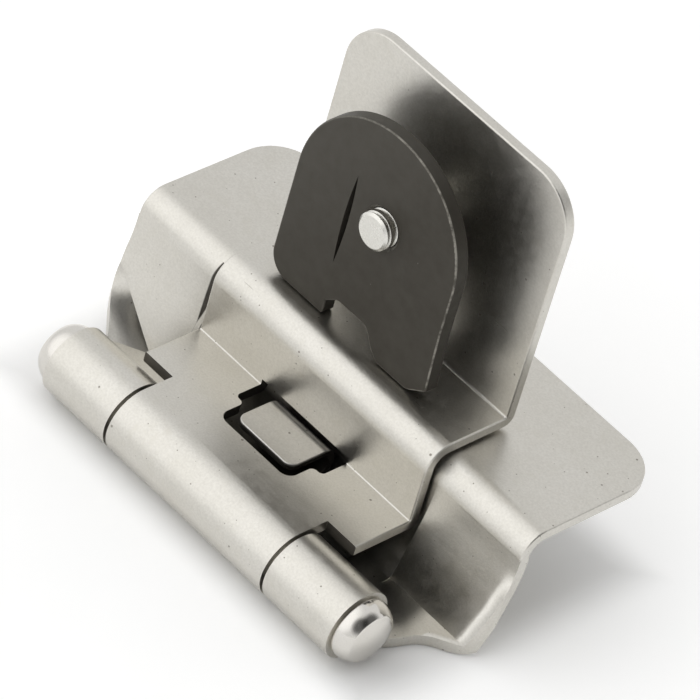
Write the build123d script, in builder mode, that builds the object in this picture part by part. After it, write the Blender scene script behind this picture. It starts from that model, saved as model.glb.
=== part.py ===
from build123d import *
import os

os.makedirs("parts", exist_ok=True)

# ---------------------------------------------------------------------------
# Demountable self-closing cabinet hinge, drawn closed, in millimetres.
# X runs along the pin, Y from the barrel towards the wings, Z up.
# The origin is on the pin's axis, half way along the barrel.
# ---------------------------------------------------------------------------

sheet = 1.5            # thickness of both leaves

# barrel and pin
barrel_r = 4.8         # outer radius of the curled knuckles
bore_r = barrel_r - sheet
pin_r = 3.24           # runs in the bore with 0.06 mm to spare
barrel_half = 25.9     # half length of the barrel
centre_half = 14.1     # half length of the upper leaf's centre knuckle
knuckle_gap = 0.5      # gap between neighbouring knuckles
head_r = 4.2           # polished pin heads, rounded sides and a domed end
head_h = 3.2
head_edge_r = 3.35     # soft edge between a head's side and its end
head_edge_h = 2.65
head_groove = 0.22     # groove between a head and its knuckle

# upper leaf
upper_half = 19.15     # half width
tab_y = 4.6            # front edge of the square tabs beside the centre knuckle
flat_z = barrel_r      # top of the flat, level with the top of the barrel
riser_y = 13.46        # front face of the riser
shelf_z = 15.9         # top of the shelf
wing_y = 25.9          # front face of the upright wing
wing_top = 50.0
wing_corner = 6.4
shelf_bend = 3.4       # outside radius of the bend between riser and shelf

# window in the flat, for the closing spring
window_half = 6.3
window_front = 5.1
ear_half = 7.85
ear_front = 9.3
window_top = 5.6       # the window runs this far up into the riser

# lower leaf
lower_half = 34.56
lower_riser_y = 15.4   # front face of the riser
lower_wing_z = 13.9    # top of the wing
lower_wing_rear = 38.9
lower_corner = 6.3
foot_bend = 5.0        # inside radius of the bend under the riser, between the feet
lower_bend_z = -barrel_r + sheet + foot_bend
foot_inner = 19.9      # the pressed feet of the riser run outwards from here
foot_top = 10.4        # a foot starts to lean forward at this height
foot_deep = 10.0       # depth of the replaced piece of sheet
foot_crease = 12.1     # sharp crease between a pressed foot and its leg
lower_bend = 3.3       # outside radius of the bend between riser and wing
leg_inner = centre_half + knuckle_gap
opening_rear = 10.6    # rear end of the opening between the two legs

# closing spring
spring_t = 0.9
spring_half = 5.0
spring_front = 6.8
spring_rear = 14.65

# clamp plate and screw
plate_front = 18.0
plate_t = 1.9
plate_x = -1.73        # centre of the plate's round top
plate_z = 33.0
plate_r = 13.65
plate_foot = 16.05
arch_left = -5.6
arch_top = 19.55
slit_x = -6.1
slit_top = 37.6
slit_low = 23.9
slit_wide = 29.6
slit_w = 0.8
screw_x = -0.72
screw_z = 33.6
screw_r = 2.45
screw_tip = 16.4
thread_pitch = 1.06
plate_hole_r = 2.52
wing_hole_r = 2.7
screw_head_r = 4.7
screw_head_h = 2.5
edge_round = 0.22      # rounding of the stamped outlines

# ---------------------------------------------------------------------------
# Upper leaf: centre knuckle, flat, riser, shelf and upright wing, one sheet
# ---------------------------------------------------------------------------
with BuildPart() as upper_leaf:
    with BuildSketch(Plane.YZ) as upper_profile:
        with BuildLine():
            Polyline(
                (0, flat_z - sheet),
                (0, flat_z),
                (riser_y, flat_z),
                (riser_y, shelf_z),
                (wing_y, shelf_z),
                (wing_y, wing_top),
                (wing_y + sheet, wing_top),
                (wing_y + sheet, shelf_z - sheet),
                (riser_y + sheet, shelf_z - sheet),
                (riser_y + sheet, flat_z - sheet),
                close=True,
            )
        make_face()
        fillet(upper_profile.vertices().sort_by_distance((riser_y, shelf_z))[0], shelf_bend)
        fillet(upper_profile.vertices().sort_by_distance((riser_y + sheet, shelf_z - sheet))[0], shelf_bend - sheet)
        fillet(upper_profile.vertices().sort_by_distance((riser_y, flat_z))[0], 0.18)
        fillet(upper_profile.vertices().sort_by_distance((wing_y, shelf_z))[0], 0.3)
        fillet(upper_profile.vertices().sort_by_distance((riser_y + sheet, flat_z - sheet))[0], 1.3)
        fillet(upper_profile.vertices().sort_by_distance((wing_y + sheet, shelf_z - sheet))[0], 1.5)
    extrude(amount=upper_half, both=True)

    # large round corners at the top of the upright wing
    fillet(upper_leaf.edges().filter_by(Axis.Y).group_by(Axis.Z)[-1], wing_corner)

    # rounded rims along both sides and over the top
    sides = upper_leaf.faces().sort_by(Axis.X)
    rims = sides[0].outer_wire().edges() + sides[-1].outer_wire().edges()
    fillet(rims.filter_by(lambda rim: rim.length > sheet + 0.2), edge_round)

    # the flat is cut back on both sides, which leaves the square tabs
    with BuildSketch(Plane.XY.offset(-barrel_r - 1)):
        with Locations((centre_half + 5, tab_y - 5), (-centre_half - 5, tab_y - 5)):
            Rectangle(10, 10)
    extrude(amount=2 * barrel_r + 2, mode=Mode.SUBTRACT)

    # centre knuckle, curled over the pin from the flat round to the back
    with BuildSketch(Plane.YZ):
        with BuildLine():
            CenterArc((0, 0), barrel_r, 90, 270)
            CenterArc((0, 0), bore_r, 90, 270)
            Line((0, bore_r), (0, barrel_r))
            Line((bore_r, 0), (barrel_r, 0))
        make_face()
    extrude(amount=centre_half, both=True)

    # window for the closing spring
    with BuildSketch(Plane.XY.offset(flat_z - sheet - 1)) as window:
        with BuildLine():
            Polyline(
                (-window_half, window_front),
                (window_half, window_front),
                (window_half, ear_front),
                (ear_half, ear_front),
                (ear_half, riser_y + sheet + 1),
                (-ear_half, riser_y + sheet + 1),
                (-ear_half, ear_front),
                (-window_half, ear_front),
                close=True,
            )
        make_face()
        fillet(window.vertices().group_by(Axis.Y)[0], 1.5)
        fillet(window.vertices().filter_by_position(Axis.Y, ear_front - 0.01, ear_front + 0.01), 0.7)
    extrude(amount=window_top - (flat_z - sheet - 1), mode=Mode.SUBTRACT)

    # hole for the clamp screw
    with BuildSketch(Plane(origin=(0, wing_y + 2 * sheet, 0), x_dir=(1, 0, 0), z_dir=(0, -1, 0))):
        with Locations((screw_x, screw_z)):
            Circle(wing_hole_r)
    extrude(amount=3 * sheet, mode=Mode.SUBTRACT)
upper_leaf.part.label = "upper_leaf"
export_step(upper_leaf.part, "parts/upper_leaf.step")

# ---------------------------------------------------------------------------
# Pressed feet of the lower leaf's riser: the right one leans forward and meets
# the leg in a crease
# ---------------------------------------------------------------------------
with BuildPart() as right_foot:
    # the outer bend of the sheet, filled to the front
    with BuildSketch(Plane.YZ.offset(foot_inner)):
        with BuildLine():
            Polyline(
                (lower_riser_y + sheet, lower_bend_z),
                (lower_riser_y + sheet, foot_top),
                (14 - foot_deep / 2, foot_top),
                (14 - foot_deep / 2, -barrel_r),
                (lower_riser_y - foot_bend, -barrel_r),
            )
            ThreePointArc(
                (lower_riser_y - foot_bend, -barrel_r),
                (
                    lower_riser_y - foot_bend + (foot_bend + sheet) * 0.70711,
                    lower_bend_z - (foot_bend + sheet) * 0.70711,
                ),
                (lower_riser_y + sheet, lower_bend_z),
            )
        make_face()
    extrude(amount=lower_half - foot_inner)
    # leaning front face down to the crease, and the top of the leg
    with BuildSketch(Plane.YZ.offset(foot_inner - 1)):
        with BuildLine():
            ThreePointArc((lower_riser_y, foot_top), (15.175, 7.409), (14.506, 4.486))
            Polyline(
                (14.506, 4.486),
                (foot_crease, -barrel_r + sheet),
                (5, -barrel_r + sheet),
                (5, foot_top + 1),
                (lower_riser_y, foot_top + 1),
                (lower_riser_y, foot_top),
            )
        make_face()
    extrude(amount=lower_half, mode=Mode.SUBTRACT)
    # hollow behind the leaning face, one sheet thickness back
    with BuildSketch(Plane.YZ.offset(foot_inner + sheet)):
        with BuildLine():
            ThreePointArc((lower_riser_y + sheet, foot_top), (16.658, 7.188), (15.939, 4.043))
            Polyline(
                (15.939, 4.043),
                (13.06, -5.3),
                (20, -5.3),
                (20, foot_top),
                (lower_riser_y + sheet, foot_top),
            )
        make_face()
    extrude(amount=lower_half, mode=Mode.SUBTRACT)

# ---------------------------------------------------------------------------
# The left foot, drawn on the right: it leans the same way, and its outer corner
# is dished, with an edge that climbs from the crease to the end of the riser
# ---------------------------------------------------------------------------
dish_way = Vector(-0.364, -0.583, 0.728).normalized()
dish_at = Vector(28.0, 12.8, -1.0)
with BuildPart() as dish:
    with BuildSketch(Plane.YZ.offset(foot_inner)):
        with BuildLine():
            Polyline(
                (lower_riser_y + sheet, lower_bend_z),
                (lower_riser_y + sheet, foot_top),
                (14 - foot_deep / 2, foot_top),
                (14 - foot_deep / 2, -barrel_r),
                (lower_riser_y - foot_bend, -barrel_r),
            )
            ThreePointArc(
                (lower_riser_y - foot_bend, -barrel_r),
                (
                    lower_riser_y - foot_bend + (foot_bend + sheet) * 0.70711,
                    lower_bend_z - (foot_bend + sheet) * 0.70711,
                ),
                (lower_riser_y + sheet, lower_bend_z),
            )
        make_face()
    extrude(amount=lower_half - foot_inner)
    split(bisect_by=Plane(origin=dish_at, z_dir=dish_way), keep=Keep.BOTTOM)

with BuildPart() as left_foot:
    with BuildSketch(Plane.YZ.offset(foot_inner)):
        with BuildLine():
            Polyline(
                (lower_riser_y + sheet, lower_bend_z),
                (lower_riser_y + sheet, foot_top),
                (14 - foot_deep / 2, foot_top),
                (14 - foot_deep / 2, -barrel_r),
                (lower_riser_y - foot_bend, -barrel_r),
            )
            ThreePointArc(
                (lower_riser_y - foot_bend, -barrel_r),
                (
                    lower_riser_y - foot_bend + (foot_bend + sheet) * 0.70711,
                    lower_bend_z - (foot_bend + sheet) * 0.70711,
                ),
                (lower_riser_y + sheet, lower_bend_z),
            )
        make_face()
    extrude(amount=lower_half - foot_inner)
    # leaning front face down to the crease, and the top of the leg
    with BuildSketch(Plane.YZ.offset(foot_inner - 1)):
        with BuildLine():
            ThreePointArc((lower_riser_y, foot_top), (15.175, 7.409), (14.506, 4.486))
            Polyline(
                (14.506, 4.486),
                (foot_crease, -barrel_r + sheet),
                (5, -barrel_r + sheet),
                (5, foot_top + 1),
                (lower_riser_y, foot_top + 1),
                (lower_riser_y, foot_top),
            )
        make_face()
    extrude(amount=lower_half, mode=Mode.SUBTRACT)
    add(dish.part)
    # hollow behind the leaning face, one sheet thickness back
    with BuildSketch(Plane.YZ.offset(foot_inner + sheet)):
        with BuildLine():
            ThreePointArc((lower_riser_y + sheet, foot_top), (16.658, 7.188), (15.939, 4.043))
            Polyline(
                (15.939, 4.043),
                (13.06, -5.3),
                (20, -5.3),
                (20, foot_top),
                (lower_riser_y + sheet, foot_top),
            )
        make_face()
    extrude(amount=lower_half, mode=Mode.SUBTRACT)
    split(bisect_by=Plane(origin=dish_at - dish_way * sheet, z_dir=dish_way), keep=Keep.TOP)

# ---------------------------------------------------------------------------
# Lower leaf: two end knuckles, legs, riser and wide wing, one sheet
# ---------------------------------------------------------------------------
with BuildPart() as lower_leaf:
    with BuildSketch(Plane.YZ) as lower_profile:
        with BuildLine():
            Polyline(
                (0, -barrel_r),
                (lower_riser_y + sheet, -barrel_r),
                (lower_riser_y + sheet, lower_wing_z - sheet),
                (lower_wing_rear, lower_wing_z - sheet),
                (lower_wing_rear, lower_wing_z),
                (lower_riser_y, lower_wing_z),
                (lower_riser_y, -barrel_r + sheet),
                (0, -barrel_r + sheet),
                close=True,
            )
        make_face()
        fillet(lower_profile.vertices().sort_by_distance((lower_riser_y + sheet, -barrel_r))[0], foot_bend + sheet)
        fillet(lower_profile.vertices().sort_by_distance((lower_riser_y, -barrel_r + sheet))[0], foot_bend)
        fillet(lower_profile.vertices().sort_by_distance((lower_riser_y, lower_wing_z))[0], lower_bend)
        fillet(lower_profile.vertices().sort_by_distance((lower_riser_y + sheet, lower_wing_z - sheet))[0], lower_bend - sheet)
    extrude(amount=lower_half, both=True)

    # round rear corners of the wing
    fillet(lower_leaf.edges().filter_by(Axis.Z).group_by(Axis.Y)[-1], lower_corner)

    # rounded rims along both sides and across the rear
    lower_sides = lower_leaf.faces().sort_by(Axis.X)
    lower_rims = lower_sides[0].outer_wire().edges() + lower_sides[-1].outer_wire().edges()
    fillet(lower_rims.filter_by(lambda rim: rim.length > sheet + 0.2), edge_round)

    # pressed feet take the place of the plain bend beside the upper leaf
    with BuildSketch(Plane.XY.offset(-barrel_r - 1)):
        with Locations((foot_inner + 10, 14), (-foot_inner - 10, 14)):
            Rectangle(20, foot_deep)
    extrude(amount=foot_top + barrel_r + 1, mode=Mode.SUBTRACT)
    add(right_foot.part)
    mirror(left_foot.part, about=Plane.YZ)

    # end knuckles, curled up from the legs round the pin
    with BuildSketch(Plane.YZ.offset(leg_inner)):
        with BuildLine():
            CenterArc((0, 0), barrel_r, -30, 300)
            CenterArc((0, 0), bore_r, -30, 300)
            Line((0, -bore_r), (0, -barrel_r))
            Line(Vector(bore_r, 0).rotate(Axis.Z, -30), Vector(barrel_r, 0).rotate(Axis.Z, -30))
        make_face()
    end_knuckle = extrude(amount=barrel_half - leg_inner)
    mirror(end_knuckle, about=Plane.YZ)

    # the legs narrow in an ogee from the riser's width to the knuckles' ends
    with BuildSketch(Plane.XY.offset(-barrel_r - 2)) as ogee:
        with BuildLine():
            Spline(
                (lower_half + 0.15, 15.3),
                (34.2, 13.8),
                (33.2, 12.35),
                (31.6, 11.0),
                (29.9, 9.8),
                (28.65, 8.2),
                (28.0, 6.4),
                (27.25, 4.7),
                (barrel_half, 3.1),
            )
            Polyline(
                (barrel_half, 3.1),
                (barrel_half, -barrel_r - 3),
                (lower_half + 6, -barrel_r - 3),
                (lower_half + 6, 15.3),
                (lower_half + 0.15, 15.3),
            )
        make_face()
        mirror(about=Plane.YZ)
    extrude(amount=2 * barrel_r + 4, mode=Mode.SUBTRACT)

    # opening between the legs, round the centre knuckle
    with BuildSketch(Plane(origin=(0, opening_rear, 0), x_dir=(1, 0, 0), z_dir=(0, -1, 0))) as between:
        with BuildLine():
            Polyline(
                (-leg_inner, -barrel_r - 3),
                (leg_inner, -barrel_r - 3),
                (leg_inner, 0),
                (-leg_inner, 0),
                close=True,
            )
        make_face()
    extrude(amount=20, mode=Mode.SUBTRACT)
lower_leaf.part.label = "lower_leaf"
export_step(lower_leaf.part, "parts/lower_leaf.step")

# ---------------------------------------------------------------------------
# Hinge pin with a domed head at each end and a closing flat at mid length
# ---------------------------------------------------------------------------
with BuildPart() as hinge_pin:
    with BuildSketch(Plane.XY) as pin_profile:
        with BuildLine():
            ThreePointArc(
                (barrel_half + head_h, 0),
                (barrel_half + head_h - 0.14, head_edge_r / 2),
                (barrel_half + head_edge_h, head_edge_r),
            )
            ThreePointArc(
                (barrel_half + head_edge_h, head_edge_r),
                (barrel_half + 1.55, 4.03),
                (barrel_half + head_groove, head_r),
            )
            Polyline(
                (barrel_half + head_groove, head_r),
                (barrel_half, head_r - head_groove),
                (barrel_half, pin_r),
                (0, pin_r),
                (0, 0),
                (barrel_half + head_h, 0),
            )
        make_face()
        fillet(
            pin_profile.vertices().sort_by_distance((barrel_half + head_edge_h, head_edge_r))[0], 0.3
        )
    revolve(axis=Axis.X)
    mirror(about=Plane.YZ)
    with BuildSketch(Plane.XY.offset(-pin_r - 1)):
        with Locations((0, pin_r - 0.35 + 1)):
            Rectangle(2 * spring_half + 1, 2)
    extrude(amount=2 * pin_r + 2, mode=Mode.SUBTRACT)
hinge_pin.part.label = "hinge_pin"
export_step(hinge_pin.part, "parts/hinge_pin.step")

# ---------------------------------------------------------------------------
# Closing spring: a hairpin of strip steel, its upper leg level in the window
# ---------------------------------------------------------------------------
with BuildPart() as closing_spring:
    with BuildSketch(Plane.YZ) as hairpin:
        with BuildLine():
            Polyline(
                (spring_front, flat_z),
                (spring_rear, flat_z),
                (spring_rear, 0),
                (pin_r + 0.08, 0),
                (pin_r + 0.08, spring_t),
                (spring_rear - spring_t, spring_t),
                (spring_rear - spring_t, flat_z - spring_t),
                (spring_front, flat_z - spring_t),
                close=True,
            )
        make_face()
        fillet(hairpin.vertices().sort_by_distance((spring_rear, flat_z))[0], 2.38)
        fillet(hairpin.vertices().sort_by_distance((spring_rear, 0))[0], 2.38)
        fillet(hairpin.vertices().sort_by_distance((spring_rear - spring_t, spring_t))[0], 1.48)
        fillet(hairpin.vertices().sort_by_distance((spring_rear - spring_t, flat_z - spring_t))[0], 1.48)
    extrude(amount=spring_half, both=True)
    front_corners = closing_spring.edges().filter_by(Axis.Z).filter_by_position(
        Axis.Y, spring_front - 0.01, spring_front + 0.01
    )
    fillet(front_corners, 1.4)
    # soft upper edge round the front
    top_edges = closing_spring.faces().sort_by(Axis.Z)[-1].outer_wire().edges()
    fillet(top_edges.sort_by(Axis.Y)[:3], 0.16)
closing_spring.part.label = "closing_spring"
export_step(closing_spring.part, "parts/closing_spring.step")

# ---------------------------------------------------------------------------
# Clamp plate: round top, two feet over the shelf, an arch and a slit
# ---------------------------------------------------------------------------
with BuildPart() as clamp_plate:
    with BuildSketch(
        Plane(origin=(0, plate_front + plate_t, 0), x_dir=(1, 0, 0), z_dir=(0, -1, 0))
    ) as plate_outline:
        with BuildLine():
            ThreePointArc(
                (plate_x + plate_r, plate_z),
                (plate_x, plate_z + plate_r),
                (plate_x - plate_r, plate_z),
            )
            Polyline(
                (plate_x - plate_r, plate_z),
                (plate_x - plate_r, plate_foot),
                (arch_left, plate_foot),
                (arch_left, arch_top - 1.35),
                (-3.9, arch_top),
                (1.2, arch_top),
                (2.6, 17.4),
                (4.0, plate_foot),
                (9.4, plate_foot),
                (12.35, 18.0),
                (plate_x + plate_r, 26.5),
                (plate_x + plate_r, plate_z),
            )
        make_face()
        fillet(plate_outline.vertices().sort_by_distance((plate_x - plate_r, plate_foot))[0], 3.2)
        fillet(plate_outline.vertices().sort_by_distance((-3.9, arch_top))[0], 1.2)
        fillet(plate_outline.vertices().sort_by_distance((1.2, arch_top))[0], 1.2)
        fillet(plate_outline.vertices().sort_by_distance((2.6, 17.4))[0], 1.5)
        fillet(plate_outline.vertices().sort_by_distance((4.0, plate_foot))[0], 0.9)
        fillet(plate_outline.vertices().sort_by_distance((9.4, plate_foot))[0], 2.0)
        fillet(plate_outline.vertices().sort_by_distance((12.35, 18.0))[0], 0.45)
        fillet(plate_outline.vertices().sort_by_distance((plate_x + plate_r, 26.5))[0], 12.0)
        fillet(plate_outline.vertices().sort_by_distance((arch_left, arch_top - 1.35))[0], 0.35)
        fillet(plate_outline.vertices().sort_by_distance((arch_left, plate_foot))[0], 0.35)
        with Locations((screw_x, screw_z)):
            Circle(plate_hole_r, mode=Mode.SUBTRACT)
        with BuildLine():
            ThreePointArc((slit_x, slit_top), (slit_x - slit_w / 2, slit_wide), (slit_x, slit_low))
            ThreePointArc((slit_x, slit_low), (slit_x + slit_w / 2, slit_wide), (slit_x, slit_top))
        make_face(mode=Mode.SUBTRACT)
    extrude(amount=plate_t)
    front_rim = clamp_plate.faces().sort_by(Axis.Y)[0].outer_wire().edges()
    fillet(front_rim, 0.3)
    # countersunk front edge of the screw hole
    hole_rim = clamp_plate.edges().filter_by(GeomType.CIRCLE).sort_by_distance((screw_x, plate_front, screw_z))
    chamfer(hole_rim.filter_by(lambda rim: abs(rim.radius - plate_hole_r) < 0.01)[0], 0.4)
clamp_plate.part.label = "clamp_plate"
export_step(clamp_plate.part, "parts/clamp_plate.step")

# ---------------------------------------------------------------------------
# Clamp screw: head behind the upright wing, threaded end through the plate
# ---------------------------------------------------------------------------
head_seat = wing_y + sheet + 0.05
with BuildPart() as clamp_screw:
    with BuildSketch(Plane(origin=(screw_x, 0, screw_z), x_dir=(1, 0, 0), z_dir=(0, 0, 1))) as screw_profile:
        with BuildLine():
            Polyline(
                (0, screw_tip),
                (screw_r - 0.35, screw_tip),
                (screw_r, screw_tip + 0.3),
                (screw_r, head_seat),
                (screw_head_r, head_seat),
                (screw_head_r, head_seat + 1.2),
            )
            ThreePointArc(
                (screw_head_r, head_seat + 1.2),
                (3.7, head_seat + 2.15),
                (2.4, head_seat + screw_head_h),
            )
            Polyline((2.4, head_seat + screw_head_h), (0, head_seat + screw_head_h), (0, screw_tip))
        make_face()
        # thread grooves, one pitch apart
        with Locations([(screw_r, screw_tip + 0.62 + thread_pitch * i) for i in range(9)]):
            RegularPolygon(0.42, 3, rotation=180, mode=Mode.SUBTRACT)
    revolve(axis=Axis((screw_x, 0, screw_z), (0, 1, 0)))
    # cross recess in the head
    with BuildSketch(Plane(origin=(screw_x, head_seat + screw_head_h, screw_z), x_dir=(1, 0, 0), z_dir=(0, -1, 0))):
        Rectangle(5.0, 1.1)
        Rectangle(1.1, 5.0)
    extrude(amount=1.5, mode=Mode.SUBTRACT)
clamp_screw.part.label = "clamp_screw"
export_step(clamp_screw.part, "parts/clamp_screw.step")
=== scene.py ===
import math

import bpy
from mathutils import Matrix, Vector

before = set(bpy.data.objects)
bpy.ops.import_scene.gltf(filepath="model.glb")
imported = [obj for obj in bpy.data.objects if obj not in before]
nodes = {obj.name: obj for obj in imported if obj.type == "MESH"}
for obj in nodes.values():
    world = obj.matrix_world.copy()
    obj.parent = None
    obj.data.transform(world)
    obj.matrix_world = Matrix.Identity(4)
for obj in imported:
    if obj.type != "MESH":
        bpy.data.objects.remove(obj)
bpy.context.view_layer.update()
scene = bpy.context.scene


# ---------------------------------------------------------------- materials
class Graph:
    """A small helper for building a node material."""

    def __init__(self, name):
        self.mat = bpy.data.materials.new(name)
        self.mat.use_nodes = True
        self.tree = self.mat.node_tree
        self.tree.nodes.clear()
        self.out = self.add("ShaderNodeOutputMaterial")
        self.bsdf = self.add("ShaderNodeBsdfPrincipled")
        self.link(self.bsdf.outputs[0], self.out.inputs[0])
        self.coord = self.add("ShaderNodeTexCoord").outputs["Object"]

    def add(self, kind, **props):
        n = self.tree.nodes.new(kind)
        for k, v in props.items():
            setattr(n, k, v)
        return n

    def link(self, a, b):
        self.tree.links.new(a, b)

    def set(self, name, value):
        self.bsdf.inputs[name].default_value = value

    def feed(self, name, socket):
        self.link(socket, self.bsdf.inputs[name])

    def moved(self, loc=(0, 0, 0), scale=(1, 1, 1), rot=(0, 0, 0)):
        m = self.add("ShaderNodeMapping")
        m.inputs["Location"].default_value = loc
        m.inputs["Scale"].default_value = scale
        m.inputs["Rotation"].default_value = rot
        self.link(self.coord, m.inputs["Vector"])
        return m.outputs[0]

    def noise(self, scale, detail=2.0, rough=0.5, vector=None, distortion=0.0):
        n = self.add("ShaderNodeTexNoise")
        n.inputs["Scale"].default_value = scale
        n.inputs["Detail"].default_value = detail
        n.inputs["Roughness"].default_value = rough
        n.inputs["Distortion"].default_value = distortion
        self.link(vector or self.coord, n.inputs["Vector"])
        return n.outputs["Fac"]

    def cells(self, scale, vector=None):
        """Distance to a random point and a random number for each cell."""
        n = self.add("ShaderNodeTexVoronoi", feature="F1")
        n.inputs["Scale"].default_value = scale
        self.link(vector or self.coord, n.inputs["Vector"])
        s = self.add("ShaderNodeSeparateColor")
        self.link(n.outputs["Color"], s.inputs[0])
        return n.outputs["Distance"], s.outputs[0], s.outputs[1]

    def ramp(self, fac, stops):
        r = self.add("ShaderNodeValToRGB")
        e = r.color_ramp.elements
        while len(e) < len(stops):
            e.new(0.5)
        for el, (p, c) in zip(e, stops):
            el.position = p
            el.color = (*c, 1) if len(c) == 3 else c
        self.link(fac, r.inputs[0])
        return r.outputs["Color"]

    def range(self, fac, lo, hi, to_lo, to_hi, smooth=False):
        r = self.add("ShaderNodeMapRange")
        r.clamp = True
        if smooth:
            r.interpolation_type = "SMOOTHSTEP"
        for k, v in zip((1, 2, 3, 4), (lo, hi, to_lo, to_hi)):
            r.inputs[k].default_value = v
        self.link(fac, r.inputs[0])
        return r.outputs[0]

    def math(self, op, a, b=None, clamp=False):
        m = self.add("ShaderNodeMath", operation=op, use_clamp=clamp)
        for i, v in enumerate((a, b)):
            if v is None:
                continue
            if isinstance(v, (int, float)):
                m.inputs[i].default_value = v
            else:
                self.link(v, m.inputs[i])
        return m.outputs[0]

    def mix(self, fac, a, b, blend="MIX"):
        m = self.add("ShaderNodeMix", data_type="RGBA", blend_type=blend)
        for sock, v in ((m.inputs[0], fac), (m.inputs[6], a), (m.inputs[7], b)):
            if isinstance(v, (int, float)):
                sock.default_value = v
            elif isinstance(v, tuple):
                sock.default_value = (*v, 1)
            else:
                self.link(v, sock)
        return m.outputs[2]

    def bump(self, height, strength, distance, normal=None):
        b = self.add("ShaderNodeBump")
        b.inputs["Strength"].default_value = strength
        b.inputs["Distance"].default_value = distance
        self.link(height, b.inputs["Height"])
        if normal is not None:
            self.link(normal, b.inputs["Normal"])
        return b.outputs[0]

    def xyz(self, which="Object"):
        """Place on the piece (metres) or direction of its surface, as three numbers."""
        s = self.add("ShaderNodeSeparateXYZ")
        self.link(self.add("ShaderNodeTexCoord").outputs[which], s.inputs[0])
        return s.outputs[0], s.outputs[1], s.outputs[2]

    def both(self, *masks):
        out = masks[0]
        for m in masks[1:]:
            out = self.math("MULTIPLY", out, m)
        return out

    def lean(self, normal, way, fac):
        """Turn the surface's direction part of the way, to soften a corner."""
        to = self.add("ShaderNodeVectorTransform", vector_type="NORMAL", convert_from="OBJECT", convert_to="WORLD")
        to.inputs[0].default_value = way
        m = self.add("ShaderNodeMix", data_type="VECTOR")
        self.link(fac, m.inputs[0])
        self.link(normal, m.inputs[4])
        self.link(to.outputs[0], m.inputs[5])
        unit = self.add("ShaderNodeVectorMath", operation="NORMALIZE")
        self.link(m.outputs[1], unit.inputs[0])
        return unit.outputs[0]

    def specks(self, scale, size, share, seed):
        """Scattered small round spots, one in some of the cells."""
        v = self.moved(loc=(seed * 0.37, seed * 0.19, seed * 0.53))
        dist, pick, wide = self.cells(scale, v)
        r = self.math("MULTIPLY", self.range(wide, 0, 1, 0.35, 1.0), size)
        inside = self.math("LESS_THAN", dist, r)
        return self.math("MULTIPLY", inside, self.math("LESS_THAN", pick, share))

    def scratches(self, scale, stretch, rot, width, share, seed):
        """Thin straight marks, long in one direction."""
        v = self.moved(loc=(seed * 0.41, seed * 0.23, seed * 0.67), scale=stretch, rot=rot)
        dist, pick, wide = self.cells(scale, v)
        inside = self.math("LESS_THAN", dist, width)
        return self.math("MULTIPLY", inside, self.math("LESS_THAN", pick, share))


def tab_and_window_painted_shade(g):
    """Painted shade on the front faces of the square tabs: darker and rougher than the plating."""
    x, y, z = g.xyz()
    nx, ny, nz = g.xyz("Normal")
    tabs = g.both(
        g.range(g.math("ABSOLUTE", x), 0.01405, 0.01425, 0.0, 1.0),
        g.range(y, 0.00466, 0.00474, 1.0, 0.0),
        g.range(ny, -0.85, -0.55, 1.0, 0.0),
    )
    # painted shade: the cut faces inside the window are darkened and roughened the same way
    window = g.both(
        g.math("LESS_THAN", g.math("ABSOLUTE", x), 0.0081),
        g.math("GREATER_THAN", y, 0.0049),
        g.math("LESS_THAN", y, 0.0156),
        g.math("LESS_THAN", z, 0.0058),
        g.range(g.math("MAXIMUM", nz, g.math("MULTIPLY", ny, -1.0)), 0.30, 0.60, 1.0, 0.0),
    )
    return g.math("MAXIMUM", tabs, window)


def riser_painted_shadow(g):
    """Painted shadow: a dark line on the riser beside the other leaf's left edge, where that edge shades it."""
    x, y, z = g.xyz()
    up = g.range(z, 0.0040, 0.0136, 0.0, 1.0)
    wide = g.math("MULTIPLY", g.math("MULTIPLY", up, g.math("SUBTRACT", 1.0, up)), 0.0021)
    off = g.math("ABSOLUTE", g.math("ADD", x, 0.02062))
    shadow_line = g.both(
        g.range(g.math("SUBTRACT", wide, off), -0.00006, 0.00010, 0.0, 1.0),
        g.math("LESS_THAN", y, 0.0164),
        g.math("GREATER_THAN", y, 0.0125),
    )
    # painted shade: dark under the other leaf's flat, round the spring
    inside = g.both(
        g.range(g.math("ABSOLUTE", x), 0.0150, 0.0190, 1.0, 0.0, smooth=True),
        g.math("GREATER_THAN", y, 0.0060),
        g.math("LESS_THAN", y, 0.0155),
        g.range(z, 0.0022, 0.0036, 1.0, 0.0, smooth=True),
    )
    return g.math("MAXIMUM", shadow_line, g.math("MULTIPLY", inside, 0.9))


def spring_painted_shade(g):
    """Painted shade: the strip's edges and everything below its top face are dark, as in the shade under the flat.
    """
    x, y, z = g.xyz()
    return g.range(z, 0.00440, 0.00464, 1.0, 0.0)


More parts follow.
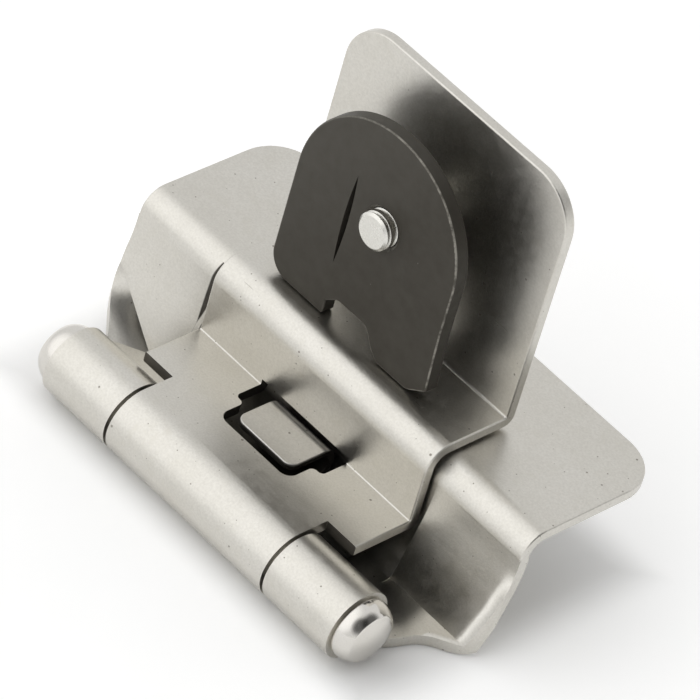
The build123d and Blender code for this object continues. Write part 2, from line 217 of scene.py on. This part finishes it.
def soft_feet(g):
    """The dish in the left foot is hollow, and the right foot has a soft rim."""
    x, y, z = g.xyz()
    nx, ny, nz = g.xyz("Normal")
    n = g.add("ShaderNodeNewGeometry").outputs["Normal"]
    dish = g.both(
        g.range(nx, 0.15, 0.28, 0.0, 1.0),
        g.math("LESS_THAN", x, -0.0235),
        g.math("LESS_THAN", z, 0.006),
    )
    front = g.math("SUBTRACT", g.math("ADD", g.math("MULTIPLY", z, 0.309), 0.01312), y)
    deep = g.both(dish, g.range(front, 0.0, 0.0022, 0.85, 0.0), g.range(z, -0.0034, -0.0016, 0.45, 1.0))
    n = g.lean(n, (0.80, -0.42, 0.43), deep)
    n = g.lean(n, (0.0, -0.955, 0.296), g.both(dish, g.range(z, -0.0008, 0.0030, 0.0, 1.0, smooth=True)))
    # the right leg is hollow towards its crease, and its riser leans back a little
    leg = g.both(
        g.range(x, 0.0245, 0.0290, 0.75, 0.0, smooth=True),
        g.math("GREATER_THAN", x, 0.0150),
        g.range(y, 0.0052, 0.0080, 0.0, 1.0, smooth=True),
        g.math("LESS_THAN", z, -0.0031),
        g.range(nz, 0.80, 0.95, 0.0, 1.0),
    )
    n = g.lean(n, (-0.38, -0.10, 0.92), leg)
    back = g.both(
        g.math("GREATER_THAN", x, 0.0199),
        g.math("LESS_THAN", y, 0.0160),
        g.range(z, 0.0035, 0.0080, 0.0, 0.20, smooth=True),
        g.range(ny, -0.97, -0.85, 1.0, 0.0),
    )
    n = g.lean(n, (0.0, -0.80, 0.60), back)

    def line(x0, y0, slope):
        return g.math("ADD", g.math("MULTIPLY", g.math("SUBTRACT", y, y0), slope), x0)

    end = g.math("MINIMUM", line(0.0332, 0.01235, 1.25), line(0.0332, 0.01235, 0.69))
    end = g.math("MINIMUM", end, line(0.0342, 0.0138, 0.34))
    foot = g.both(
        g.math("GREATER_THAN", x, 0.0290),
        g.math("LESS_THAN", y, 0.0156),
        g.range(z, 0.0040, 0.0090, 1.0, 0.0, smooth=True),
        g.range(nx, 0.10, 0.30, 1.0, 0.0),
        g.math("GREATER_THAN", g.math("SUBTRACT", nz, ny), 0.5),
    )
    rim = g.range(g.math("SUBTRACT", end, x), 0.0001, 0.0019, 1.0, 0.0, smooth=True)
    return g.lean(n, (0.25, -0.35, 0.90), g.both(foot, rim))


def satin_nickel(name, base, rough, seed, grain=1.0, marks=1.0, painted_shade=None, painted_shade_tone=(0.13, 0.12, 0.105), soft=None):
    g = Graph(name)
    painted_shade_mask = painted_shade(g) if painted_shade else None
    start = soft(g) if soft else None
    g.coord = g.moved(loc=(seed * 0.131, seed * 0.077, seed * 0.053))
    # plating that varies a little in tone, with a faint bloom and a fine grain
    cloud = g.noise(95, 4, 0.62)
    bloom = g.noise(430, 3, 0.6)
    sand = g.noise(3600, 2, 0.55)
    tone = g.mix(g.range(cloud, 0.3, 0.72, 0, 1), tuple(c * k for c, k in zip(base, (0.935, 0.930, 0.915))), base)
    tone = g.mix(g.range(bloom, 0.54, 0.75, 0, 0.5), tone, tuple(c * k for c, k in zip(base, (0.91, 0.905, 0.875))))
    tone = g.mix(
        g.range(sand, 0.30, 0.70, 0.40 * grain, 0.0),
        tone,
        tuple(c * k for c, k in zip(base, (0.70, 0.69, 0.67))),
    )
    smudge = g.range(g.noise(210, 5, 0.72, distortion=0.6), 0.58, 0.70, 0.0, 0.55 * marks, smooth=True)
    tone = g.mix(smudge, tone, tuple(c * k for c, k in zip(base, (0.86, 0.85, 0.82))))
    # small dark pits and a few hair scratches
    pits = g.math("MAXIMUM", g.specks(420, 0.075, 0.70, seed + 1), g.specks(1100, 0.12, 0.34, seed + 2))
    lines = g.math(
        "MAXIMUM",
        g.scratches(260, (1.0, 0.07, 1.0), (0.3, 0.2, 0.55), 0.026, 0.70, seed + 3),
        g.scratches(300, (0.07, 1.0, 1.0), (0.2, 0.5, -0.35), 0.024, 0.60, seed + 4),
    )
    tone = g.mix(g.math("MULTIPLY", pits, 0.62 * marks), tone, (0.13, 0.11, 0.085))
    tone = g.mix(g.math("MULTIPLY", lines, 0.42 * marks), tone, (0.26, 0.24, 0.21))
    # satin grain: roughness wanders
    r = g.range(g.noise(700, 4, 0.65), 0.3, 0.7, rough - 0.035, rough + 0.045)
    r = g.math("ADD", r, g.math("MULTIPLY", pits, 0.2 * marks), clamp=True)
    # painted shade: where the mask is set, the colour is darkened towards the shade tone and the surface made
    # rougher
    if painted_shade_mask is not None:
        tone = g.mix(g.math("MULTIPLY", painted_shade_mask, g.range(bloom, 0.3, 0.7, 0.90, 0.98)), tone, painted_shade_tone)
        r = g.math("ADD", r, g.math("MULTIPLY", painted_shade_mask, 0.2), clamp=True)
    g.feed("Base Color", tone)
    g.feed("Roughness", r)
    g.set("Metallic", 1.0)
    fine = g.noise(5200, 3, 0.6)
    grit = g.noise(2000, 3, 0.65)
    wave = g.noise(150, 2, 0.5)
    n = g.bump(wave, 0.14 * grain, 0.00012, start)
    n = g.bump(grit, 0.16 * grain, 0.00006, n)
    n = g.bump(fine, 0.40 * grain, 0.00004, n)
    n = g.bump(g.math("SUBTRACT", 1.0, g.math("MAXIMUM", pits, lines)), 0.25 * marks, 0.00003, n)
    g.feed("Normal", n)
    return g.mat


def dark_steel(name):
    g = Graph(name)
    cloud = g.noise(130, 4, 0.65)
    tone = g.ramp(cloud, [(0.28, (0.031, 0.0275, 0.0215)), (0.50, (0.036, 0.0325, 0.0260)), (0.74, (0.043, 0.0395, 0.0325))])
    # the coating is rubbed through along the edges, in broken lines
    broken = g.range(g.noise(900, 4, 0.7), 0.36, 0.60, 0.15, 1.0)
    x, y, z = g.xyz()
    nx, ny, nz = g.xyz("Normal")
    rim = g.both(g.range(ny, -0.99, -0.90, 0.0, 1.0), g.range(ny, -0.55, -0.30, 1.0, 0.0))
    to_right = g.range(g.math("ADD", x, g.math("MULTIPLY", z, 0.35)), 0.002, 0.018, 0.25, 1.0, smooth=True)
    worn = g.both(rim, broken, to_right)
    # painted light: the plate is lighter towards the top left, where the light falls
    painted_light = g.range(g.math("SUBTRACT", g.math("MULTIPLY", z, 0.6), x), 0.012, 0.040, 0.0, 0.55, smooth=True)
    tone = g.mix(painted_light, tone, (0.060, 0.056, 0.047))
    chips = g.specks(700, 0.075, 0.10, 3)
    lines = g.math(
        "MAXIMUM",
        g.scratches(330, (1.0, 1.0, 0.06), (0.25, 0.0, 0.5), 0.020, 0.18, 5),
        g.scratches(360, (0.08, 1.0, 1.0), (0.0, 0.4, 0.2), 0.020, 0.14, 6),
    )
    tone = g.mix(g.math("MULTIPLY", worn, 0.75), tone, (0.34, 0.325, 0.285))
    tone = g.mix(g.math("MULTIPLY", chips, 0.45), tone, (0.22, 0.21, 0.185))
    tone = g.mix(g.math("MULTIPLY", lines, 0.22), tone, (0.14, 0.133, 0.117))
    g.feed("Base Color", tone)
    g.set("Metallic", 0.0)
    g.set("Specular IOR Level", 0.30)
    g.set("Specular Tint", (1.0, 0.95, 0.86, 1.0))
    r = g.range(g.noise(600, 4, 0.6), 0.3, 0.7, 0.44, 0.60)
    g.feed("Roughness", g.math("ADD", r, g.math("MULTIPLY", worn, -0.12)))
    n = g.bump(g.noise(260, 3, 0.55), 0.10, 0.0001)
    n = g.bump(g.noise(5200, 2, 0.55), 0.16, 0.00003, n)
    n = g.bump(g.math("SUBTRACT", 1.0, g.math("MAXIMUM", chips, lines)), 0.25, 0.00003, n)
    g.feed("Normal", n)
    return g.mat


def put(node, mat):
    o = nodes[node]
    o.data.materials.clear()
    o.data.materials.append(mat)


nickel = (0.670, 0.652, 0.608)
# the leaves and the spring carry masks of painted shade, each with its own darker tone
put("upper_leaf", satin_nickel("satin_nickel_upper", nickel, 0.31, 1, painted_shade=tab_and_window_painted_shade))
put("lower_leaf", satin_nickel("satin_nickel_lower", nickel, 0.31, 2, painted_shade=riser_painted_shadow, painted_shade_tone=(0.03, 0.026, 0.02), soft=soft_feet))
put("hinge_pin", satin_nickel("polished_pin", (0.70, 0.68, 0.645), 0.13, 3, grain=0.25, marks=0.4))
put("closing_spring", satin_nickel("spring_strip", (0.62, 0.605, 0.57), 0.40, 4, painted_shade=spring_painted_shade, painted_shade_tone=(0.05, 0.044, 0.036)))
put("clamp_plate", dark_steel("dark_steel"))
put("clamp_screw", satin_nickel("bright_screw", (0.74, 0.73, 0.69), 0.28, 5, grain=0.8, marks=0.7))

# ------------------------------------------------------------------- stage
floor_mesh = bpy.data.meshes.new("floor")
h = 3.0
fz = -0.0049
floor_mesh.from_pydata([(-h, -h, fz), (h, -h, fz), (h, h, fz), (-h, h, fz)], [], [(0, 1, 2, 3)])
floor = bpy.data.objects.new("floor", floor_mesh)
scene.collection.objects.link(floor)
g = Graph("pale_floor")
g.feed("Base Color", g.ramp(g.noise(40, 3), [(0.3, (0.945, 0.945, 0.94)), (0.7, (0.96, 0.96, 0.955))]))
g.set("Roughness", 0.9)
g.set("Specular IOR Level", 0.1)
# lit from below like a light table, except right under the hinge
x, y, z = g.xyz()
clear = g.math(
    "MAXIMUM",
    g.range(g.math("ABSOLUTE", x), 0.030, 0.038, 0.0, 0.24, smooth=True),
    g.math(
        "MAXIMUM",
        g.range(y, -0.008, -0.002, 0.24, 0.0, smooth=True),
        g.range(y, 0.038, 0.046, 0.0, 0.24, smooth=True),
    ),
)
g.set("Emission Color", (1.0, 1.0, 1.0, 1.0))
g.feed("Emission Strength", clear)
floor_mesh.materials.append(g.mat)

# ------------------------------------------------------------------ lights
# A white tent: even light all round, brighter towards the front left, with a
# dim patch on the right where the tent is open.
world = bpy.data.worlds.new("studio")
scene.world = world
world.use_nodes = True
wt = world.node_tree
wt.nodes.clear()
w_out = wt.nodes.new("ShaderNodeOutputWorld")
w_bg = wt.nodes.new("ShaderNodeBackground")
w_dir = wt.nodes.new("ShaderNodeTexCoord").outputs["Generated"]
wt.links.new(w_bg.outputs[0], w_out.inputs[0])


def lobe(direction, inner_deg, outer_deg, at_centre, outside):
    d = Vector(direction).normalized()
    dot = wt.nodes.new("ShaderNodeVectorMath")
    dot.operation = "DOT_PRODUCT"
    dot.inputs[1].default_value = d
    wt.links.new(w_dir, dot.inputs[0])
    r = wt.nodes.new("ShaderNodeMapRange")
    r.interpolation_type = "SMOOTHSTEP"
    for k, v in zip(
        (1, 2, 3, 4),
        (math.cos(math.radians(outer_deg)), math.cos(math.radians(inner_deg)), outside, at_centre),
    ):
        r.inputs[k].default_value = v
    wt.links.new(dot.outputs["Value"], r.inputs[0])
    return r.outputs[0]


def combine(op, a, b):
    m = wt.nodes.new("ShaderNodeMath")
    m.operation = op
    wt.links.new(a, m.inputs[0])
    wt.links.new(b, m.inputs[1])
    return m.outputs[0]


bright = lobe((-0.45, -0.62, 0.62), 12, 62, 1.42, 0.90)
dim_a = lobe((0.6275, -0.4394, 0.6428), 14, 38, 0.16, 1.0)
dim_b = lobe((0.7399, 0.1983, 0.6428), 14, 38, 0.16, 1.0)
dim = combine("MULTIPLY", dim_a, dim_b)
wt.links.new(combine("MULTIPLY", bright, dim), w_bg.inputs["Strength"])
w_bg.inputs["Color"].default_value = (1.0, 1.0, 1.0, 1.0)

# ------------------------------------------------------------------ camera
cam_data = bpy.data.cameras.new("camera")
cam = bpy.data.objects.new("camera", cam_data)
scene.collection.objects.link(cam)
right = Vector((0.657804076, 0.719872722, 0.221533432))
down = Vector((0.598614231, -0.321171318, -0.733832397))
ahead = Vector((-0.457115741, 0.615331007, -0.642193858))
rot = Matrix((right, -down, -ahead)).transposed()
cam.rotation_mode = "QUATERNION"
cam.rotation_quaternion = rot.to_quaternion()
cam.location = (0.342785, -0.443363, 0.496325)
cam_data.sensor_width = 36.0
cam_data.lens = 6311.41 * 36.0 / 700.0
cam_data.clip_start = 0.05
cam_data.clip_end = 20.0
scene.camera = cam

scene.view_settings.view_transform = "Standard"
scene.view_settings.look = "None"
